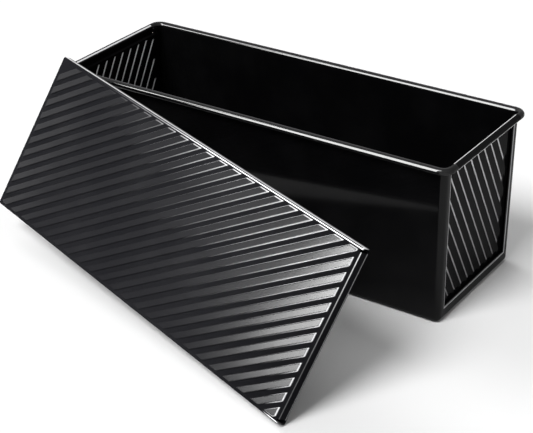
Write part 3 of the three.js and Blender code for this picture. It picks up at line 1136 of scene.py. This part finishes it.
            # Painted highlight lines on the flange's fold, brighter towards the upper edge, and on its
            # hem.
            line = max((y / self.width) ** self.highlight_power, self.least_highlight)
            marks = {steps // 2 - 1: line, steps // 2: line, steps + 1: self.hem_highlight}
            spots = [place(end + d, y, z) for d, z in self.flange()]
            rows.append([row, *shell.line(spots, marks)])
        shell.bands(rows)
        made = shell.mesh_object(self.name)
        thicken(made, self.sheet - self.pan.fold_thinning, rest.to_3x3() @ Vector((0, 0, 1)))
        return made


class Sock:
    """An output socket whose operators add Math nodes."""

    def __init__(self, tree: "ShaderTree", socket: bpy.types.NodeSocket | None) -> None:
        """Wraps a socket of a tree."""
        self.tree = tree
        self.socket = socket

    def math(self, operation: str, other: "Sock | float", swap: bool = False) -> "Sock":
        """Adds a Math node with this value and another, which comes first where they swap."""
        values = {0: other, 1: self} if swap else {0: self, 1: other}
        return self.tree.node("ShaderNodeMath", {"operation": operation}, values)

    def __add__(self, other: "Sock | float") -> "Sock":
        """Sum."""
        return self.math("ADD", other)

    def __sub__(self, other: "Sock | float") -> "Sock":
        """Difference."""
        return self.math("SUBTRACT", other)

    def __rsub__(self, other: float) -> "Sock":
        """Difference from a number."""
        return self.math("SUBTRACT", other, swap=True)

    def __mul__(self, other: "Sock | float") -> "Sock":
        """Product."""
        return self.math("MULTIPLY", other)

    __radd__ = __add__
    __rmul__ = __mul__

    def ramp(self, low: float, high: float) -> "Sock":
        """A smooth step from 0 at low to 1 at high."""
        sockets = {"Value": self, "From Min": low, "From Max": high}
        return self.tree.node("ShaderNodeMapRange", {"interpolation_type": "SMOOTHSTEP"}, sockets)


class ShaderTree:
    """The node tree of one material or of the world."""

    def __init__(self, tree: bpy.types.NodeTree) -> None:
        """Empties the tree and starts on it."""
        self.tree = tree
        tree.nodes.clear()

    def node(
        self,
        kind: str,
        settings: dict | None = None,
        sockets: dict | None = None,
        out: str | int = 0,
    ) -> Sock:
        """Adds a node.

        Args:
            kind: The node's type.
            settings: Its properties, set first.
            sockets: Values or links of its inputs, by name or number.
            out: The output that is returned.

        Returns:
            The chosen output, if the node has one.
        """
        made = self.tree.nodes.new(kind)
        for key, value in (settings or {}).items():
            setattr(made, key, value)
        for key, value in (sockets or {}).items():
            if isinstance(value, Sock):
                self.tree.links.new(value.socket, made.inputs[key])
            else:
                made.inputs[key].default_value = value
        return Sock(self, made.outputs[out] if made.outputs else None)

    def mix(self, factor: Sock, first: "Sock | tuple", second: "Sock | tuple") -> Sock:
        """A colour between two."""
        sockets = {"Factor": factor, MIX_FIRST: first, MIX_SECOND: second}
        return self.node("ShaderNodeMix", {"data_type": "RGBA"}, sockets, out=MIX_RESULT)

    def spot(self) -> Sock:
        """The place in the object's own coordinates, in metres."""
        return self.node("ShaderNodeTexCoord", out="Object")

    def mark(self, name: str) -> Sock:
        """A mark that the mesh carries."""
        return self.node("ShaderNodeAttribute", {"attribute_name": name}, out="Fac")

    def bump(self, depth: float, height: Sock, below: Sock | None = None) -> Sock:
        """A normal from heights of a depth in metres, on top of another where there is one."""
        under = {"Normal": below} if below else {}
        sockets = {"Strength": 1, "Distance": depth, "Height": height, **under}
        return self.node("ShaderNodeBump", {}, sockets)


def grey(level: float, blue: float = 0) -> tuple[float, float, float, float]:
    """A grey with a little more blue."""
    return (level, level, level + blue, 1)


@dataclass(frozen=True)
class Finish:
    """What a surface is made of."""

    name: str

    def surface(self, tree: ShaderTree) -> Sock:
        """Adds the surface's nodes, which every finish has of its own.

        Args:
            tree: The material's nodes.

        Returns:
            The surface.
        """
        raise NotImplementedError

    @cache
    def material(self) -> bpy.types.Material:
        """Makes the material, once for all pieces that have this finish.

        Returns:
            It, with its nodes.
        """
        made = bpy.data.materials.new(self.name)
        made.use_nodes = True
        tree = ShaderTree(made.node_tree)
        tree.node("ShaderNodeOutputMaterial", {}, {"Surface": self.surface(tree)})
        return made

    def cover(self, piece: bpy.types.Object) -> None:
        """Gives a piece this finish and no other."""
        piece.data.materials.clear()
        piece.data.materials.append(self.material())


@dataclass(frozen=True)
class Cloud:
    """Noise over a surface, in waves to the metre, and the part of it that fades from 0 to 1."""

    scale: float
    detail: float = 2
    roughness: float = 0.5
    low: float = 0
    high: float = 1

    def raw(self, tree: ShaderTree) -> Sock:
        """The noise itself."""
        sockets = {"Scale": self.scale, "Detail": self.detail, "Roughness": self.roughness}
        return tree.node("ShaderNodeTexNoise", {}, {"Vector": tree.spot(), **sockets})

    def mask(self, tree: ShaderTree) -> Sock:
        """Its soft patches, from 0 to 1."""
        return self.raw(tree).ramp(self.low, self.high)


@dataclass(frozen=True)
class Coating(Finish):
    """A glossy black release coating on steel sheet."""

    colour: float = 0.0022
    cloud_colour: float = 0.004
    blue: float = 0.0003
    roughness: float = 0.35
    coat: float = 1.0
    coat_roughness: float = 0.07
    polished_coat: float = 0.0
    polished: Point2 = (0.5, 0.9)
    # Painted shade: the tone darkens along the object's x, over this span in metres.
    painted_shade: float = 0.0
    painted_shade_span: Point2 = (0.02, 0.14)
    # Bare steel where the edge mark lies: wear, and painted highlight lines.
    wear_highlight_colour: float = 0.9
    wear_highlight_blue: float = 0.015
    wear_highlight_share: float = 0.95
    wear_highlight_metal: float = 0.5
    wear_highlight_roughness: float = 0.5
    least_worn: float = 0.65
    clouds: Cloud = Cloud(26, 4, 0.6, 0.35, 0.7)
    smudges: Cloud = Cloud(70, 5, 0.65, 0.45, 0.75)
    specks: Cloud = Cloud(2400, 1, 0.5, 0.66, 0.74)
    scuffs: Cloud = Cloud(90, 3, 0.5, 0.1, 0.5)
    cloud_dullness: float = 0.05
    smudge_dullness: float = 0.06
    speck_dullness: float = 0.05
    smudge_film: float = 0.12
    grain: Cloud = Cloud(700)
    grain_depth: float = 0.000004
    wave: Cloud = Cloud(11, 1)
    wave_depth: float = 0.00025

    def surface(self, tree: ShaderTree) -> Sock:
        """Lays black clouds under a clear coat, painted shade where it is asked for, and bare steel on
        the marked edges as wear and painted highlight lines.

        Args:
            tree: The material's nodes.

        Returns:
            The surface.
        """
        polished = tree.mark(GLOSS_MARK).ramp(*self.polished)
        cloud, smudge = self.clouds.mask(tree), self.smudges.mask(tree)
        scuff = self.scuffs.mask(tree) * (1 - self.least_worn) + self.least_worn
        # Bare, bright steel on the marked edges: wear, and painted highlight lines.
        wear_and_highlight = tree.mark(WEAR_AND_HIGHLIGHT_MARK) * self.wear_highlight_share * scuff
        tone = tree.mix(cloud, grey(self.colour, self.blue), grey(self.cloud_colour, self.blue))
        # Painted shade: the tone darkens along x.
        if self.painted_shade:
            along = tree.node("ShaderNodeSeparateXYZ", {}, {"Vector": tree.spot()})
            tone = tree.mix(along.ramp(*self.painted_shade_span) * self.painted_shade, tone, grey(0))
        tone = tree.mix(wear_and_highlight, tone, grey(self.wear_highlight_colour, self.wear_highlight_blue))
        dull = cloud * self.cloud_dullness + smudge * self.smudge_dullness
        rough = dull + self.specks.mask(tree) * self.speck_dullness + self.roughness
        rough = rough + wear_and_highlight * (self.wear_highlight_roughness - self.roughness)
        coat = (polished * self.polished_coat + self.coat) * (1 - smudge * self.smudge_film) * (1 - wear_and_highlight)
        fine = tree.bump(self.grain_depth, self.grain.raw(tree))
        return tree.node("ShaderNodeBsdfPrincipled", {}, {
            "Base Color": tone,
            "Roughness": rough,
            "Metallic": wear_and_highlight * self.wear_highlight_metal,
            "Specular IOR Level": 0,
            "Coat Weight": coat,
            "Coat Roughness": self.coat_roughness,
            "Normal": tree.bump(self.wave_depth, self.wave.raw(tree), fine),
        })


@dataclass(frozen=True)
class DrawnWire(Finish):
    """Plain drawn steel wire."""

    name: str = "drawn_steel_wire"
    colour: float = 0.5
    stain: float = 0.8
    blue: float = 0.01
    roughness: float = 0.35
    stain_dullness: float = 0.1
    stains: Cloud = Cloud(60, 3, 0.5, 0.3, 0.7)
    scratches: Cloud = Cloud(3000)
    scratch_depth: float = 0.00002

    def surface(self, tree: ShaderTree) -> Sock:
        """Lays faint stains on scratched steel.

        Args:
            tree: The material's nodes.

        Returns:
            The surface.
        """
        stain = self.stains.mask(tree)
        tones = grey(self.colour, self.blue), grey(self.colour * self.stain, self.blue)
        return tree.node("ShaderNodeBsdfPrincipled", {}, {
            "Base Color": tree.mix(stain, *tones),
            "Roughness": stain * self.stain_dullness + self.roughness,
            "Metallic": 1,
            "Normal": tree.bump(self.scratch_depth, self.scratches.raw(tree)),
        })


@dataclass(frozen=True)
class MattWhite(Finish):
    """The floor's white."""

    name: str = "white_sweep"
    tone: float = 0.95

    def surface(self, tree: ShaderTree) -> Sock:
        """Lays the matt surface."""
        return tree.node("ShaderNodeBsdfDiffuse", {}, {"Color": grey(self.tone)})


@dataclass(frozen=True)
class FarLamp:
    """A broad far lamp, which may be left out of gloss."""

    name: str
    toward: Point3
    strength: float
    angle: float
    in_gloss: bool = True

    def hang(self) -> None:
        """Puts the lamp into the scene."""
        data = bpy.data.lights.new(self.name, "SUN")
        data.energy = self.strength
        data.angle = math.radians(self.angle)
        lamp = placed(self.name, data)
        lamp.rotation_euler = Vector(self.toward).to_track_quat("Z", "Y").to_euler()
        lamp.visible_glossy = self.in_gloss


@dataclass(frozen=True)
class Card:
    """A rectangular light that shows in gloss only; at a strength of 1 it is white."""

    name: str
    place: Point3 | Vector
    target: Point3 | Vector
    size: Point2
    strength: float

    def hang(self) -> None:
        """Puts the card into the scene."""
        data = bpy.data.lights.new(self.name, "AREA")
        data.shape = "RECTANGLE"
        data.size, data.size_y = self.size
        data.energy = self.strength * math.pi * self.size[0] * self.size[1]
        lamp = placed(self.name, data)
        lamp.location = self.place
        back = Vector(self.place) - Vector(self.target)
        lamp.rotation_euler = back.to_track_quat("Z", "Y").to_euler()
        lamp.visible_camera = False
        lamp.visible_diffuse = False


@dataclass
class SideCard:
    """The card that shows in the lid, in level strips that grow brighter upwards."""

    place: Point3 = (-0.918, -0.951, 0.6)
    target: Point3 = (0.12, -0.15, 0.08)
    lefts: tuple[float, ...] = (-0.02, -0.035, -0.055, -0.08, -0.09, -0.08, -0.075, -0.0725)
    right: float = 0.0725
    edges: tuple[float, ...] = (-0.375, -0.345, -0.315, -0.285, -0.24, -0.19, -0.14, -0.09, 0.6)
    shares: tuple[float, ...] = (0.03, 0.08, 0.2, 0.47, 0.75, 0.95, 1.3, 1.7)
    strength: float = 21

    def hang(self) -> None:
        """Hangs the strips edge to edge in one plane."""
        place, target = Vector(self.place), Vector(self.target)
        back = (place - target).normalized()
        up = (Vector((0, 0, 1)) - back * back.z).normalized()
        across = up.cross(back)
        strips = zip(self.lefts, self.edges, self.edges[1:], self.shares)
        for i, (left, low, high, share) in enumerate(strips):
            shift = up * (low + high) / 2 + across * (left + self.right) / 2
            size = (self.right - left, high - low)
            Card(f"side_card_{i + 1}", place + shift, target + shift, size, self.strength * share).hang()


@dataclass
class Camera:
    """The camera, where it was fitted to the pan's straight edges."""

    place: Point3 = (0.51888, -0.78483, 0.52032)
    turn: float = 34.3822
    rise: float = 28.3107
    roll: float = -0.8511
    focal_pixels: float = 1521.1668
    photo_width: int = 533
    film: float = 36
    near_clip: float = 0.01

    def set_up(self) -> None:
        """Makes it the scene's camera."""
        data = bpy.data.cameras.new("camera")
        data.sensor_fit = "HORIZONTAL"
        data.sensor_width = self.film
        data.lens = self.film * self.focal_pixels / self.photo_width
        data.clip_start = self.near_clip
        made = placed("camera", data)
        turn = turned((self.turn, "Z"), (90 - self.rise, "X"), (self.roll, "Z"))
        made.matrix_world = Matrix.Translation(self.place) @ turn
        bpy.context.scene.camera = made


@dataclass
class Studio:
    """A white floor, soft light and the camera."""

    floor_half: float = 6
    floor_finish: MattWhite = MattWhite()
    ambient: float = 0.28
    key: FarLamp = FarLamp("key", (-0.14, -0.65, 0.9), 2.6, 28)
    left_fill: FarLamp = FarLamp("left_fill", (-0.9, 0.25, 0.8), 0.8, 30, in_gloss=False)
    front_card: Card = Card("front_card", (-0.55, -1.2, 0.6), (0.1, -0.06, 0.1), (0.5, 1.8), 31)
    side_card: SideCard = field(default_factory=SideCard)
    camera: Camera = field(default_factory=Camera)

    def floor(self) -> None:
        """Lays the pale floor."""
        reach = self.floor_half
        mesh = bpy.data.meshes.new("floor")
        corners = [(-reach, -reach, 0), (reach, -reach, 0), (reach, reach, 0), (-reach, reach, 0)]
        mesh.from_pydata(corners, [], [(0, 1, 2, 3)])
        floor = placed("floor", mesh)
        self.floor_finish.cover(floor)

    def sky(self) -> None:
        """White round about, and a plain soft light from it."""
        world = bpy.data.worlds.new("studio")
        bpy.context.scene.world = world
        world.use_nodes = True
        tree = ShaderTree(world.node_tree)
        seen = tree.node("ShaderNodeLightPath", out="Is Camera Ray")
        for ray in ("Is Glossy Ray", "Is Transmission Ray"):
            seen = seen.math("MAXIMUM", tree.node("ShaderNodeLightPath", out=ray))
        strength = seen * (1 - self.ambient) + self.ambient
        light = tree.node("ShaderNodeBackground", {}, {"Color": grey(1), "Strength": strength})
        tree.node("ShaderNodeOutputWorld", {}, {"Surface": light})

    def build(self) -> None:
        """Sets the floor, the lights and the camera."""
        bpy.context.scene.view_settings.view_transform = "Standard"
        self.floor()
        self.sky()
        for light in (self.key, self.left_fill, self.side_card, self.front_card):
            light.hang()
        self.camera.set_up()


@dataclass
class LoafPan:
    """The whole object: every piece, its finish and the body that it rides on."""

    pan: FoldedPan = field(default_factory=FoldedPan)
    # In every coating the bare steel on marked edges is partly painted highlight.
    body_finish: Coating = Coating(
        "black_coating_smooth",
        coat=0.3,
        polished_coat=0.35,
        wear_highlight_colour=0.55,
        wear_highlight_share=0.6,
    )
    end_finish: Coating = Coating("black_coating_end", coat=0.09)
    # The lid's tone carries painted shade, darker towards its flange end.
    lid_finish: Coating = Coating(
        "black_coating_lid",
        colour=0.0165,
        cloud_colour=0.0205,
        blue=0.0025,
        painted_shade=0.5,
        coat=0.0,
        polished_coat=0.64,
        coat_roughness=0.12,
    )
    wire_finish: DrawnWire = DrawnWire()

    def dress(self, part: BodySheet | EndPanel | Lid, body: Body, finish: Finish) -> None:
        """Builds a piece, gives it its finish and puts it in its node's place.

        Args:
            part: What builds the piece.
            body: The body that it rides on.
            finish: What it is made of.
        """
        piece = part.build()
        finish.cover(piece)
        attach(piece, body.value)
        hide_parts(part.node)
        log.info("%s: %d faces in place of %s", piece.name, len(piece.data.polygons), part.node)

    def build(self, frame: dict) -> None:
        """Makes every piece.

        Args:
            frame: The loaded frame.
        """
        self.dress(BodySheet(self.pan), Body.PAN, self.body_finish)
        for side, word in ((1, "right"), (-1, "left")):
            panel = EndPanel(self.pan, side, f"ribbed_{word}_end", f"{word}_end_panel")
            self.dress(panel, Body.PAN, self.end_finish)
        self.dress(Lid(self.pan), Body.LID, self.lid_finish)
        self.wire_finish.cover(frame["nodes"]["rim_wire"])
        log.info("rim_wire: kept from the frame, in drawn steel")


def main() -> None:
    """Builds the object and its studio."""
    logging.basicConfig(level=logging.INFO, format="%(name)s: %(message)s")
    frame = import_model()
    LoafPan().build(frame)
    Studio().build()


if __name__ == "__main__":
    main()
